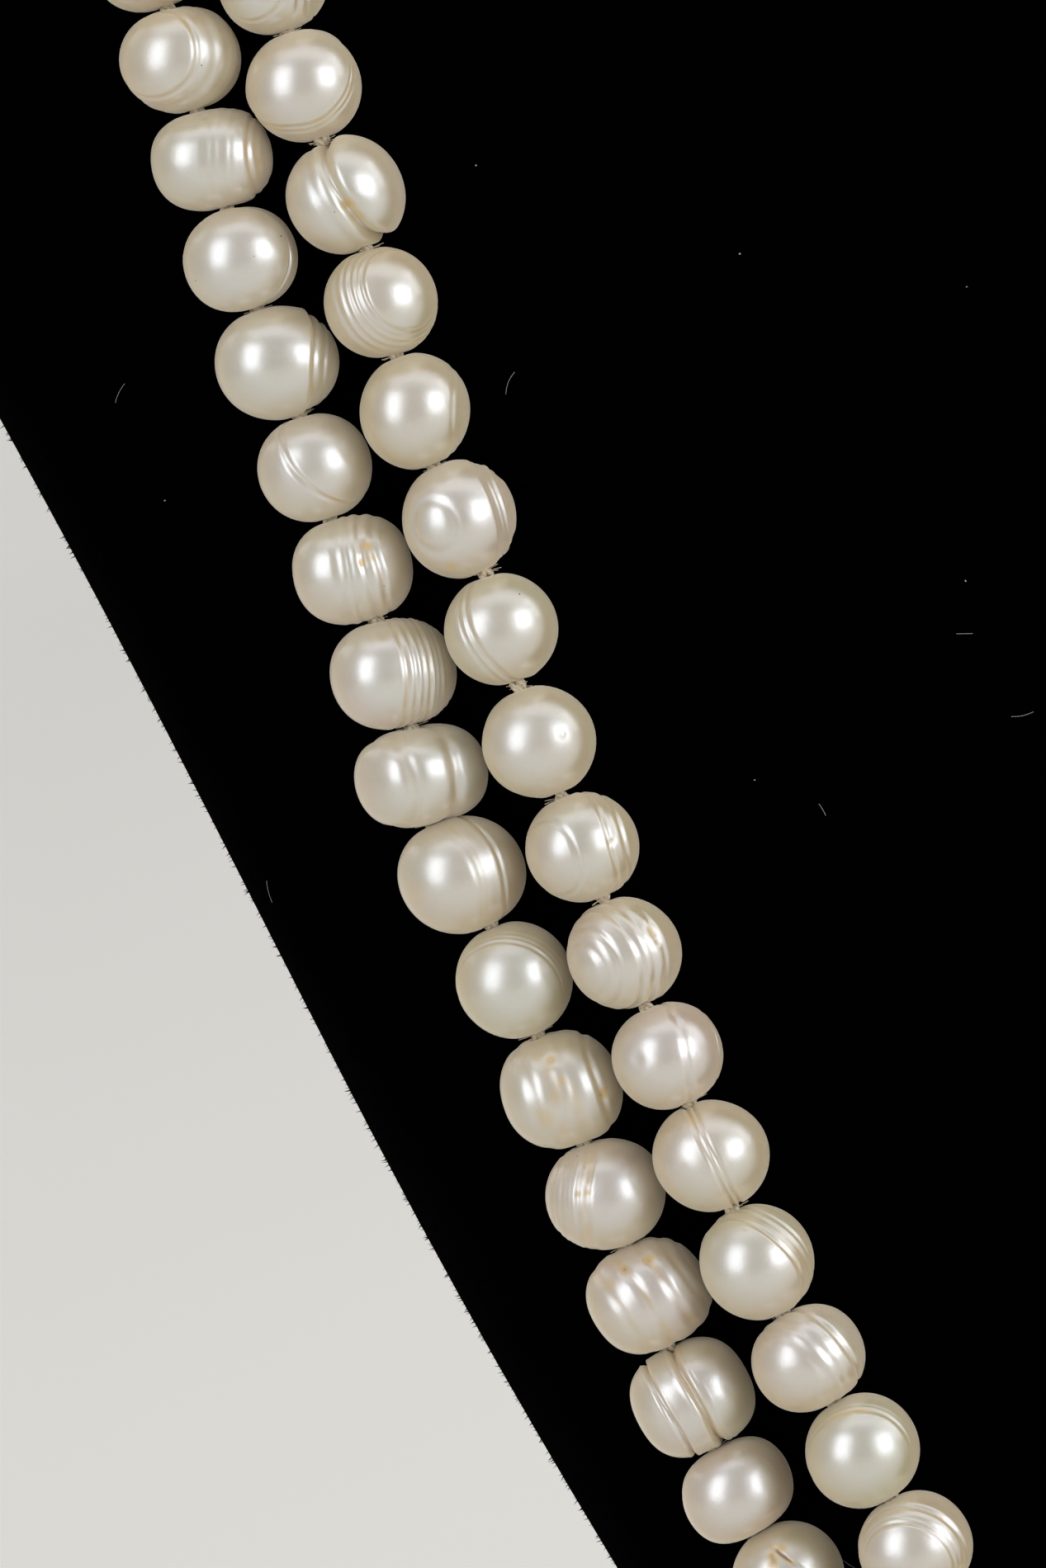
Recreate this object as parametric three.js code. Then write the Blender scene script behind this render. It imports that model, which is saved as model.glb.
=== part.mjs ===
// A long rope of knotted ringed pearls, worn doubled on a velvet covered neck bust.
// Millimetres, +Z up, origin under the middle of the bust's foot, front of the bust towards -Y.
import * as THREE from 'three';

// ---- driving dimensions -------------------------------------------------------------------

const chestLean = THREE.MathUtils.degToRad(8);  // the chest leans back by this
const roundness = 2.35;          // superellipse exponent of the bust's level sections
const shoulderSlope = { bottom: 268, top: 345 };  // heights between which it narrows to the neck
const bustSides = 40;
const feel = 0.5;                // step over which the bust's slope is measured
const settling = 9;              // rounds that bring a point over the chest to its place
const halvings = 30;             // and over the shoulder

// Level sections of the bust, from the foot up: half width, and depth in front of and behind
// the spine line x = 0, y = 0.
const bustSections = [
  { height: 0, half: 57, front: 70, back: 38 },               // sole of the foot
  { height: 3, half: 59, front: 72, back: 40 },
  { height: 10, half: 59, front: 72, back: 40 },
  { height: 13, half: 56.5, front: 70.5, back: 37.5 },
  { height: 15.5, half: 46, front: 66.5, back: 18 },
  { height: 28, half: 42.5, front: 65.2, back: 13 },
  { height: 42, half: 41.5, front: 64.5, back: 13 },          // waist
  { height: 60, half: 43.5, front: 63.5, back: 15.5 },
  { height: 84, half: 50, front: 60.7, back: 21 },
  { height: 108, half: 58, front: 57.3, back: 26.5 },
  { height: 136, half: 66.3, front: 53.4, back: 32 },
  { height: 167, half: 73.8, front: 49.1, back: 37.5 },
  { height: 198, half: 81.3, front: 44.7, back: 42 },
  { height: 226, half: 89, front: 40.8, back: 45.5 },
  { height: 250, half: 96, front: 37.4, back: 48.5 },
  { height: 266, half: 99, front: 35, back: 50.5 },           // shoulders
  { height: 278, half: 96, front: 34, back: 51.5 },
  { height: 288, half: 87, front: 34, back: 51.5 },
  { height: 297, half: 75, front: 34.8, back: 51 },
  { height: 306, half: 64, front: 36, back: 50 },
  { height: 315, half: 55.5, front: 37, back: 48.5 },
  { height: 326, half: 49, front: 37, back: 46.5 },           // root of the neck
  { height: 342, half: 44, front: 36, back: 44 },
  { height: 362, half: 41.5, front: 35, back: 42.5 },
  { height: 384, half: 41.5, front: 35, back: 42.5 },
  { height: 391, half: 40, front: 33.5, back: 41 },
  { height: 395, half: 36.5, front: 30, back: 37.5 },         // flat top
];

const bustLevels = [
  0, 3, 10, 13, 15.5, 28, 42, 60, 84, 108, 136, 167, 198, 226, 250, 260, 270, 279, 288, 297,
  306, 315, 326, 342, 362, 384, 391, 395,
];

// The two turns of the rope. On the chest each hangs as a catenary; slack is its parameter and
// bottom the height of its lowest pearl. shoulder is how far out it goes over the shoulder, and
// nape the height at which it goes round the back of the neck.
const outerTurn = { slack: 20.5, bottom: 52.6, reach: 245, shoulder: 67, nape: 306 };
const innerTurn = { slack: 16.9, bottom: 77.4, reach: 220, shoulder: 58, nape: 318 };
const bend = 26;                 // half of the lowest stretch, which the knots keep to an arc
const bendSteps = 3;             // route points on each side of that arc
const frontSteps = 9;            // and from there up each side of the chest
const shoulderAngles = [-38, -10];         // degrees round from the side, front to back
const napeAngle = 20;
const swapAngles = [45, 60, 75, 90, 105, 120, 135];  // where the turns change places
const lay = 5.6;                 // thread's height over the velvet
const crossing = 11;             // extra height where one turn crosses over the other
const routeDivisions = 3000;     // lengths that the thread's route is measured in

// The pearls of the chest's right-hand side, the wearer's, which are nodes of their own: the
// thread from knot to knot, the pearl's width across it, and how far aside its lower knot lies.
const outerPearls = [
  { length: 8.8, across: 10.1, aside: -0.6 },
  { length: 9.1, across: 10.1, aside: -0.2 },
  { length: 8.9, across: 10.5, aside: 0.0 },
  { length: 9.1, across: 9.9, aside: 0.4 },
  { length: 10.0, across: 10.6, aside: 0.0 },
  { length: 9.2, across: 10.0, aside: 0.5 },
  { length: 9.6, across: 10.4, aside: -0.2 },
  { length: 9.8, across: 10.8, aside: 0.2 },
  { length: 8.6, across: 10.8, aside: 1.6 },
  { length: 10.1, across: 10.8, aside: -0.2 },
  { length: 10.3, across: 10.3, aside: -0.3 },
  { length: 10.4, across: 10.7, aside: -0.5 },
  { length: 9.6, across: 10.4, aside: -0.4 },
  { length: 9.6, across: 10.7, aside: 0.1 },
  { length: 9.8, across: 10.5, aside: 0.4 },
  { length: 8.2, across: 9.8, aside: 0.1 },
  { length: 9.3, across: 9.7, aside: -0.5 },
  { length: 9.6, across: 9.9, aside: 0.0 },
  { length: 9.5, across: 10.2, aside: 0.0 },
  { length: 9.6, across: 9.8, aside: 0.0 },
];
const innerPearls = [
  { length: 9.0, across: 9.6, aside: 0.2 },
  { length: 9.8, across: 9.9, aside: 0.3 },
  { length: 10.1, across: 10.0, aside: -0.3 },
  { length: 9.4, across: 9.9, aside: 0.3 },
  { length: 10.2, across: 9.6, aside: 0.3 },
  { length: 10.0, across: 9.9, aside: -0.7 },
  { length: 10.3, across: 9.8, aside: 0.0 },
  { length: 10.3, across: 9.8, aside: -0.1 },
  { length: 9.4, across: 9.8, aside: -0.3 },
  { length: 10.3, across: 9.8, aside: -0.1 },
  { length: 9.0, across: 9.6, aside: -0.2 },
  { length: 9.9, across: 10.0, aside: 0.1 },
  { length: 10.1, across: 9.9, aside: 0.2 },
  { length: 8.8, across: 9.8, aside: -0.2 },
  { length: 9.6, across: 9.9, aside: -0.4 },
  { length: 9.2, across: 9.8, aside: 0.7 },
  { length: 9.6, across: 9.8, aside: 0.0 },
  { length: 9.6, across: 9.6, aside: 0.0 },
  { length: 9.5, across: 9.8, aside: 0.0 },
  { length: 9.6, across: 9.7, aside: 0.0 },
];
const outerStart = 91.5;         // thread from the clasp's middle to the first of each
const innerStart = 906.7;

// The rest of the rope is strung in stretches of a size that stays easy to handle.
const strungPitch = 9.6;
const strungWidths = [9.6, 10.1, 9.3, 9.9, 9.5, 10.2, 9.7];
const stretchLongest = 14;       // pearls in one stretch, at most

const pearlGap = 0.6;            // between neighbouring pearls, along the thread
const clearance = 0.3;           // between the thread and what it passes through
const threadRadius = 0.35;
const drillRadius = 0.7;
const dimple = { radius: 1.25, depth: 0.5 };  // countersunk mouth of the drill hole
const knot = { radius: 0.62, length: 0.7 };
const clasp = { length: 13, radius: 3.2, cap: 2.1 };
// Outline of half the clasp, end to middle: distance from the end, and radius as part of its cap's
// or of its barrel's.
const claspCap = [[0, 0.7], [0.6, 1], [1.8, 1]];
const claspBarrel = [[3, 1]];
const claspSides = 16;

// Where along a pearl's half length its rings of vertices lie.
const pearlRings = [-0.86, -0.5, 0, 0.5, 0.86];
const strungRings = [-0.94, -0.5, 0.5, 0.94];
const pearlSides = 8;
const strungSides = 6;
const threadSides = 6;
const hair = 1e-6;               // a length too small to matter

// ---- materials ------------------------------------------------------------------------------

const nacre = new THREE.MeshStandardMaterial({ color: 0xe9e2d4, roughness: 0.25, metalness: 0 });
const velvet = new THREE.MeshStandardMaterial({ color: 0x060607, roughness: 1, metalness: 0 });
const silk = new THREE.MeshStandardMaterial({ color: 0xe6dcc6, roughness: 0.8, metalness: 0 });
const gilt = new THREE.MeshStandardMaterial({ color: 0xd9b25f, roughness: 0.3, metalness: 1 });

// ---- the bust's surface ---------------------------------------------------------------------

// One column of the sections, smoothly interpolated at any height.
function section(column, height) {
  const rows = bustSections;
  const last = rows.length - 1;
  const level = THREE.MathUtils.clamp(height, 0, rows[last].height);
  let low = rows.findIndex((row) => row.height > level) - 1;
  if (low < 0) low = last - 1;
  const slope = (k) => {
    const below = rows[Math.max(k - 1, 0)];
    const above = rows[Math.min(k + 1, last)];
    return (above[column] - below[column]) / (above.height - below.height);
  };
  const span = rows[low + 1].height - rows[low].height;
  const t = (level - rows[low].height) / span;
  return (1 + 2 * t) * (1 - t) ** 2 * rows[low][column]
    + t * (1 - t) ** 2 * span * slope(low)
    + t * t * (3 - 2 * t) * rows[low + 1][column]
    + t * t * (t - 1) * span * slope(low + 1);
}

function bustPoint(angle, height) {
  const power = 2 / roundness;
  const c = Math.cos(angle);
  const s = Math.sin(angle);
  const depth = section(s > 0 ? 'back' : 'front', height);
  return new THREE.Vector3(
    section('half', height) * Math.sign(c) * Math.abs(c) ** power,
    depth * Math.sign(s) * Math.abs(s) ** power,
    height,
  );
}

// Grows outwards from 1 on the surface.
function bustField(x, y, z) {
  const depth = section(y > 0 ? 'back' : 'front', z);
  return Math.abs(x / section('half', z)) ** roundness + Math.abs(y / depth) ** roundness;
}

function bustNormal(p) {
  const h = feel;
  return new THREE.Vector3(
    bustField(p.x + h, p.y, p.z) - bustField(p.x - h, p.y, p.z),
    bustField(p.x, p.y + h, p.z) - bustField(p.x, p.y - h, p.z),
    bustField(p.x, p.y, p.z + h) - bustField(p.x, p.y, p.z - h),
  ).normalize();
}

// The point above the chest whose front view position is x, z.
function overChest(x, z, height) {
  const foot = new THREE.Vector3(x, 0, z);
  const normal = new THREE.Vector3(0, -1, 0);
  for (let turn = 0; turn < settling; turn += 1) {
    foot.x = x - height * normal.x;
    foot.z = z - height * normal.z;
    const across = Math.abs(foot.x / section('half', foot.z)) ** roundness;
    foot.y = -section('front', foot.z) * (1 - across) ** (1 / roundness);
    normal.copy(bustNormal(foot));
  }
  return foot.addScaledVector(normal, height);
}

function overBust(angle, z, height) {
  const foot = bustPoint(angle, z);
  return foot.addScaledVector(bustNormal(foot), height);
}

// The point on the shoulder's slope, at this angle round the bust, that lies x out to the side.
function overShoulder(angle, x, height) {
  let { bottom: low, top: high } = shoulderSlope;
  for (let turn = 0; turn < halvings; turn += 1) {
    const middle = (low + high) / 2;
    if (overBust(angle, middle, height).x > x) low = middle;
    else high = middle;
  }
  return overBust(angle, low, height);
}

// ---- the route of the thread ----------------------------------------------------------------

// Right half of one turn, from its lowest point up the chest and over the shoulder.
function halfTurn({ slack, bottom, reach, shoulder, nape }) {
  const points = [];
  const climb = Math.cos(chestLean);
  const steepest = Math.atan(bend / slack);
  const radius = (slack * Math.asinh(bend / slack)) / Math.sin(steepest);
  const arcTop = bottom + (Math.hypot(slack, bend) - slack) * climb;
  for (let step = 0; step < bendSteps; step += 1) {
    const angle = (steepest * step) / bendSteps;
    const drop = radius * (Math.cos(angle) - Math.cos(steepest)) * climb;
    points.push(overChest(radius * Math.sin(angle), arcTop - drop, lay));
  }
  for (let step = 0; step <= frontSteps; step += 1) {
    const run = bend + ((reach - bend) * step) / frontSteps;
    const rise = (Math.hypot(slack, run) - slack) * climb;
    points.push(overChest(slack * Math.asinh(run / slack), bottom + rise, lay));
  }
  shoulderAngles.forEach((degrees) => {
    points.push(overShoulder(THREE.MathUtils.degToRad(degrees), shoulder, lay));
  });
  points.push(overBust(THREE.MathUtils.degToRad(napeAngle), nape, lay));
  return points;
}

// Round the nape from one turn's height to the other's, lifted where it goes over.
function swap(from, to, lift) {
  return swapAngles.map((degrees, k) => {
    const part = (k / (swapAngles.length - 1)) * Math.PI;
    const height = (from + to) / 2 + ((from - to) / 2) * Math.cos(part);
    return overBust(THREE.MathUtils.degToRad(degrees), height, lay + lift * Math.sin(part));
  });
}

function wholeTurn(turn) {
  const right = halfTurn(turn);
  const left = right.slice(1).reverse().map((p) => new THREE.Vector3(-p.x, p.y, p.z));
  return [...left, ...right];
}

const route = new THREE.CatmullRomCurve3([
  ...wholeTurn(outerTurn), ...swap(outerTurn.nape, innerTurn.nape, crossing),
  ...wholeTurn(innerTurn), ...swap(innerTurn.nape, outerTurn.nape, 0),
], true);
route.arcLengthDivisions = routeDivisions;
const ropeLength = route.getLength();

// The rope at a distance along its thread: x across it on the velvet, y along it, z off the velvet.
function ropeFrame(distance) {
  const u = THREE.MathUtils.euclideanModulo(distance / ropeLength, 1);
  const origin = route.getPointAt(u);
  const along = route.getTangentAt(u);
  const out = bustNormal(origin).projectOnPlane(along).normalize();
  return { origin, along, out, across: along.clone().cross(out) };
}

// ---- pearls in their order along the rope ---------------------------------------------------

function stringUp(start, rows) {
  let distance = start;
  return rows.map((row) => {
    const pearl = { ...row, start: distance, end: distance + row.length };
    distance = pearl.end;
    return pearl;
  });
}

// Unlisted pearls that fill the thread from start to end, in a repeating run of widths.
function fill(start, end) {
  const count = Math.round((end - start) / strungPitch);
  const length = (end - start) / count;
  const rows = Array.from({ length: count }, (_, k) => (
    { length, across: strungWidths[k % strungWidths.length], aside: 0 }
  ));
  return stringUp(start, rows);
}

const outerRun = stringUp(outerStart, outerPearls);
const innerRun = stringUp(innerStart, innerPearls);
const claspEnd = clasp.length / 2 + clearance;
const filled = [
  fill(claspEnd, outerStart),
  fill(outerRun.at(-1).end, innerStart),
  fill(innerRun.at(-1).end, ropeLength - claspEnd),
];

// Knots at both ends of every pearl. A pearl's lower knot lies aside by its own row.
function knotsOf(run) {
  const asides = [0, ...run.map((pearl) => pearl.aside)];
  const distances = [run[0].start, ...run.map((pearl) => pearl.end)];
  return distances.map((distance, k) => {
    const frame = ropeFrame(distance);
    frame.origin.addScaledVector(frame.across, asides[k]);
    return frame;
  });
}

// ---- solids ---------------------------------------------------------------------------------

// A turned solid whose vertices are moved one by one, so it can follow a shape of its own.
function reshaped(profile, sides, place) {
  const points = profile.map(([radius, height]) => new THREE.Vector2(radius, height));
  const geometry = new THREE.LatheGeometry(points, sides);
  const position = geometry.getAttribute('position');
  const vertex = new THREE.Vector3();
  for (let k = 0; k < position.count; k += 1) {
    place(vertex.fromBufferAttribute(position, k));
    position.setXYZ(k, vertex.x, vertex.y, vertex.z);
  }
  geometry.computeVertexNormals();
  return geometry;
}

// A pearl drilled along its middle, with a countersunk mouth at both ends.
function pearlProfile(length, across) {
  const half = (length - pearlGap) / 2;
  const flank = pearlRings.map((part) => (
    [(across / 2) * Math.sqrt(1 - part * part), half * part]
  ));
  const mouth = half * Math.sqrt(1 - (2 * dimple.radius / across) ** 2);
  return [
    [drillRadius, -mouth + dimple.depth], [dimple.radius, -mouth], ...flank,
    [dimple.radius, mouth], [drillRadius, mouth - dimple.depth],
    [drillRadius, -mouth + dimple.depth],
  ];
}

function pearlMesh(name, pearl, upper, lower) {
  const along = lower.origin.clone().sub(upper.origin).normalize();
  const out = upper.out.clone().add(lower.out).projectOnPlane(along).normalize();
  const mesh = new THREE.Mesh(
    reshaped(pearlProfile(pearl.length, pearl.across), pearlSides, (v) => {
      v.z *= Math.min(1, pearl.length / pearl.across);
    }),
    nacre,
  );
  mesh.name = name;
  mesh.position.copy(upper.origin).add(lower.origin).multiplyScalar(0.5);
  mesh.quaternion.setFromRotationMatrix(
    new THREE.Matrix4().makeBasis(along.clone().cross(out), along, out),
  );
  return mesh;
}

// A profile bent along the thread's straight lengths from knot to knot. The profile's heights
// count from the first knot, and at a knot the section is mitred.
function bentAlong(knots, profile, sides, material, name) {
  const distances = [0];
  for (let k = 1; k < knots.length; k += 1) {
    distances.push(distances[k - 1] + knots[k].origin.distanceTo(knots[k - 1].origin));
  }
  const place = (v) => {
    const next = distances.findIndex((distance) => distance > v.y + hair);
    const k = next < 1 ? knots.length - 2 : next - 1;
    const t = (v.y - distances[k]) / (distances[k + 1] - distances[k]);
    const along = knots[k + 1].origin.clone().sub(knots[k].origin).normalize();
    const out = knots[k].out.clone().lerp(knots[k + 1].out, t).projectOnPlane(along).normalize();
    const origin = knots[k].origin.clone().lerp(knots[k + 1].origin, t);
    const { x, z } = v;
    v.copy(origin).addScaledVector(along.cross(out), x).addScaledVector(out, z);
  };
  const mesh = new THREE.Mesh(reshaped(profile(distances), sides, place), material);
  mesh.name = name;
  return mesh;
}

// The thread alone, with a knot between each pearl and the next.
function threadProfile(distances) {
  const points = [[0, clearance], [threadRadius, clearance]];
  distances.slice(1, -1).forEach((distance) => {
    points.push([threadRadius, distance - knot.length / 2], [knot.radius, distance],
      [threadRadius, distance + knot.length / 2]);
  });
  const end = distances.at(-1) - clearance;
  return [...points, [threadRadius, end], [0, end]];
}

// A stretch of pearls and the thread between them, as one solid.
function strungProfile(run) {
  return (distances) => {
    const points = [[0, clearance / 2], [knot.radius, clearance / 2]];
    run.forEach((pearl, k) => {
      const middle = (distances[k] + distances[k + 1]) / 2;
      const half = (distances[k + 1] - distances[k] - pearlGap) / 2;
      strungRings.forEach((part) => {
        points.push([(pearl.across / 2) * Math.sqrt(1 - part * part), middle + half * part]);
      });
      if (k < run.length - 1) points.push([knot.radius, distances[k + 1]]);
    });
    const end = distances.at(-1) - clearance / 2;
    return [...points, [knot.radius, end], [0, end]];
  };
}

function bustMesh() {
  const top = bustSections.at(-1).height;
  const profile = [[0, 0], ...bustLevels.map((height) => [1, height]), [0, top]];
  const mesh = new THREE.Mesh(reshaped(profile, bustSides, (v) => {
    if (Math.hypot(v.x, v.z) < hair) v.set(0, 0, v.y);
    else v.copy(bustPoint(Math.atan2(-v.z, v.x), v.y));
  }), velvet);
  mesh.name = 'neck_bust';
  return mesh;
}

// A barrel with a cap at each end, on the thread between the rope's two ends.
function claspMesh() {
  const half = clasp.length / 2;
  const outline = [
    ...claspCap.map(([from, part]) => [clasp.cap * part, from - half]),
    ...claspBarrel.map(([from, part]) => [clasp.radius * part, from - half]),
  ];
  const mirrored = outline.map(([radius, height]) => [radius, -height]).reverse();
  const profile = [[0, -half], ...outline, ...mirrored, [0, half]];
  const { origin, along, across, out } = ropeFrame(0);
  const mesh = new THREE.Mesh(reshaped(profile, claspSides, () => {}), gilt);
  mesh.name = 'clasp';
  mesh.position.copy(origin);
  mesh.quaternion.setFromRotationMatrix(new THREE.Matrix4().makeBasis(across, along, out));
  return mesh;
}

// ---- the assembly ---------------------------------------------------------------------------

const numbered = (name, k) => `${name}_${String(k + 1).padStart(2, '0')}`;
const group = new THREE.Group();
group.add(bustMesh(), claspMesh());

[['outer', outerRun], ['inner', innerRun]].forEach(([turn, run]) => {
  const knots = knotsOf(run);
  run.forEach((pearl, k) => {
    group.add(pearlMesh(numbered(`pearl_${turn}`, k), pearl, knots[k], knots[k + 1]));
  });
  group.add(bentAlong(knots, threadProfile, threadSides, silk, `thread_${turn}`));
});

let stretches = 0;
filled.forEach((run) => {
  const knots = knotsOf(run);
  const count = Math.ceil(run.length / stretchLongest);
  for (let part = 0; part < count; part += 1) {
    const from = Math.round((run.length * part) / count);
    const to = Math.round((run.length * (part + 1)) / count);
    const name = numbered('strung_pearls', stretches);
    const profile = strungProfile(run.slice(from, to));
    group.add(bentAlong(knots.slice(from, to + 1), profile, strungSides, nacre, name));
    stretches += 1;
  }
});

export default group;
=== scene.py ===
import math
import random

import bmesh
import bpy
import numpy as np
from mathutils import Matrix, Vector


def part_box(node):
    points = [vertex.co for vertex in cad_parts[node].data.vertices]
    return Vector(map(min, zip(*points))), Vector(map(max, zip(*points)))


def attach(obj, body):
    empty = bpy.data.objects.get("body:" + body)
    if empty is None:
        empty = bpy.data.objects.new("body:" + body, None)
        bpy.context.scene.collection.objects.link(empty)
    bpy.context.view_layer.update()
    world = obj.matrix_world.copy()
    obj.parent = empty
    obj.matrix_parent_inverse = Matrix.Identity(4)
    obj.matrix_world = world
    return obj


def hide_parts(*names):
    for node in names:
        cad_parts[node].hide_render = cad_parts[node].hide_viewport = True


# A long rope of ringed pearls, knotted on silk and worn doubled on a velvet neck bust.
# Metres, +Z up, the front of the bust towards -Y.

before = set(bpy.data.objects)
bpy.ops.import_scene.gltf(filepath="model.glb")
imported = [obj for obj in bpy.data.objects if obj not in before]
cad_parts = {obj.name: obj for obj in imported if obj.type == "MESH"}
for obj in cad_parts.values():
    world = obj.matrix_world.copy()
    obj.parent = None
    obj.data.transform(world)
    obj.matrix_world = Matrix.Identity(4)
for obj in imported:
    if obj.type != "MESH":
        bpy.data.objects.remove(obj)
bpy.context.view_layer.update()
print("frame loaded:", len(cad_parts), "nodes")


# the camera, the lights and the room
camera = {
    "roll": 13,  # degrees, the bust is seen turned by this
    "pitch": 8,  # degrees down, square to the leaning chest
    "distance": 0.6,
    "viewHeight": 0.1357,
    "sensor": 36,
    "clip": (0.02, 60),
    "aimBead": "pearl_inner_08",
    "aimRight": -0.00144,
    "aimUp": -0.00366,
}


def viewAxes():
    roll, pitch = math.radians(camera["roll"]), math.radians(camera["pitch"])
    back = Vector((0, -math.cos(pitch), math.sin(pitch)))
    level = Vector((1, 0, 0))
    rise = back.cross(level)
    right = level * math.cos(roll) - rise * math.sin(roll)
    up = level * math.sin(roll) + rise * math.cos(roll)
    return right, up, back


def nodeMiddle(name):
    low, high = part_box(name)
    return (low + high) / 2


viewRight, viewUp, viewBack = viewAxes()
aim = nodeMiddle(camera["aimBead"]) + viewRight * camera["aimRight"] + viewUp * camera["aimUp"]
eye = aim + viewBack * camera["distance"]


def link(obj):
    bpy.context.scene.collection.objects.link(obj)
    return obj


def turned(right, up, back, place):
    turn = Matrix((right, up, back)).transposed().to_4x4()
    turn.translation = place
    return turn


def addCamera():
    lens = bpy.data.cameras.new("camera")
    lens.sensor_fit = "VERTICAL"
    lens.sensor_height = camera["sensor"]
    lens.lens = lens.sensor_height * camera["distance"] / camera["viewHeight"]
    lens.clip_start, lens.clip_end = camera["clip"]
    obj = link(bpy.data.objects.new("camera", lens))
    obj.matrix_world = turned(viewRight, viewUp, viewBack, eye)
    bpy.context.scene.camera = obj


softboxes = {
    # degrees round from the view and up from it, then metres and watts
    "softboxLeft": dict(round=-45, rise=9, away=2.4, wide=1.35, tall=2.1, power=16.5),
    "softboxRight": dict(round=46, rise=16, away=2.4, wide=1.6, tall=1.5, power=19),
    "sideRight": dict(round=100, rise=35, away=2.0, wide=1.6, tall=1.3, power=12),
    "above": dict(round=6, rise=84, away=0.8, wide=1.5, tall=0.9, power=2.7),
    "backLeft": dict(round=-140, rise=30, away=1.6, wide=0.9, tall=0.9, power=0.8),
    "backRight": dict(round=140, rise=30, away=1.6, wide=0.9, tall=0.9, power=0.8),
}
ceilings = {
    # metres over the floor, to the side and behind the bust, across, and watts
    "ceiling": dict(high=4.0, side=0, behind=7.5, size=12.0, power=265),
    "backdrop": dict(high=1.5, side=-0.7, behind=2.6, size=1.6, power=4.0),
}


def addArea(name, place, target, wide, tall, power):
    light = bpy.data.lights.new(name, "AREA")
    light.shape = "RECTANGLE"
    light.size, light.size_y = wide, tall
    light.energy = power
    obj = link(bpy.data.objects.new(name, light))
    obj.visible_camera = False
    back = (place - target).normalized()
    side = viewUp if abs(back.dot(viewUp)) < 0.9 else viewBack
    right = side.cross(back).normalized()
    obj.matrix_world = turned(right, back.cross(right), back, place)


def addLights():
    for name, box in softboxes.items():
        around = Matrix.Rotation(math.radians(box["round"]), 3, viewUp)
        lift = Matrix.Rotation(math.radians(-box["rise"]), 3, viewRight)
        place = aim + around @ lift @ viewBack * box["away"]
        addArea(name, place, aim, box["wide"], box["tall"], box["power"])
    for name, panel in ceilings.items():
        above = Vector((panel["side"], panel["behind"], panel["high"]))
        addArea(name, above, above - Vector((0, 0, 1)), panel["size"], panel["size"],
                panel["power"])


room = {"tint": (0.98, 0.98, 1.0, 1), "strength": 0.42}


def addWorld():
    world = bpy.data.worlds.new("room")
    world.use_nodes = True
    sky = world.node_tree.nodes["Background"]
    setInputs(sky, {"Color": room["tint"], "Strength": room["strength"]})
    bpy.context.scene.world = world
    bpy.context.scene.view_settings.view_transform = "Standard"


# materials, each from its own settings
noiseSpan = (0.3, 0.7)  # where most values of a noise lie


def newMaterial(name):
    material = bpy.data.materials.new(name)
    material.use_nodes = True
    tree = material.node_tree
    return material, tree, tree.nodes["Principled BSDF"]


def addNode(tree, kind, **values):
    node = tree.nodes.new(kind)
    for key, value in values.items():
        if key in node.inputs:
            node.inputs[key].default_value = value
        else:
            setattr(node, key, value)
    return node


def setInputs(node, values):
    for key, value in values.items():
        node.inputs[key].default_value = value


def noiseNode(tree, scale, detail=2):
    place = addNode(tree, "ShaderNodeTexCoord")
    noise = addNode(tree, "ShaderNodeTexNoise", Scale=scale, Detail=detail)
    tree.links.new(place.outputs["Object"], noise.inputs["Vector"])
    return noise


def rangeNode(tree, source, low, high, start=0.0, end=1.0):
    span = addNode(tree, "ShaderNodeMapRange")
    setInputs(span, {"From Min": low, "From Max": high, "To Min": start, "To Max": end})
    tree.links.new(source, span.inputs["Value"])
    return span.outputs["Result"]


def addBump(tree, height, finish, *layers):
    bump = addNode(tree, "ShaderNodeBump", Strength=finish["bump"], Distance=finish["depth"])
    tree.links.new(height, bump.inputs["Height"])
    for layer in layers:
        tree.links.new(bump.outputs["Normal"], layer.inputs["Normal"])


def mixNode(tree, factor, first, second):
    mix = addNode(tree, "ShaderNodeMix", data_type="RGBA")
    for k, value in ((0, factor), (6, first), (7, second)):
        socket = mix.inputs[k]
        if isinstance(value, bpy.types.NodeSocket):
            tree.links.new(value, socket)
        else:
            socket.default_value = value
    return mix.outputs[2]


nacre = {
    "cream": (0.55, 0.415, 0.215, 1),
    "white": (0.57, 0.495, 0.35, 1),
    "pink": (0.59, 0.42, 0.34, 1),
    "green": (0.455, 0.45, 0.255, 1),
    "tan": (0.67, 0.47, 0.19, 1),
    "brown": (0.15, 0.055, 0.012, 1),
    "chalk": (0.0, 0.9, 1.0, 0.3),  # lustre lost where it is stained
    "glow": 0.55,  # how much of the light wanders about inside
    "glowReach": (0.0018, 0.0014, 0.0010),
    "skin": 1.3,  # refraction of the clear outer skin
    "skinRoughness": 0.12,
    "lustre": (0.87, 0.93, 1.0, 1),  # white sheen that the layers throw back
    "lustreShare": (0.50, 0.07),  # facing and edge on
    "roughness": (0.31, 0.365),
    "bloom": 1.0,
    "bloomTint": (1.0, 0.92, 0.78, 1),
    "bloomRoughness": 0.55,
    "tint": 0.75,  # how far blush takes the body to pink or to green
    "cloud": 160,  # noise scales and the bump of the grain
    "grain": 2600,
    "bump": 0.25,
    "depth": 0.00003,
    "edge": (0.1, 0.6),  # from facing to edge on
}


def attributeNode(tree, name):
    return addNode(tree, "ShaderNodeAttribute", attribute_name=name).outputs["Fac"]


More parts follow.
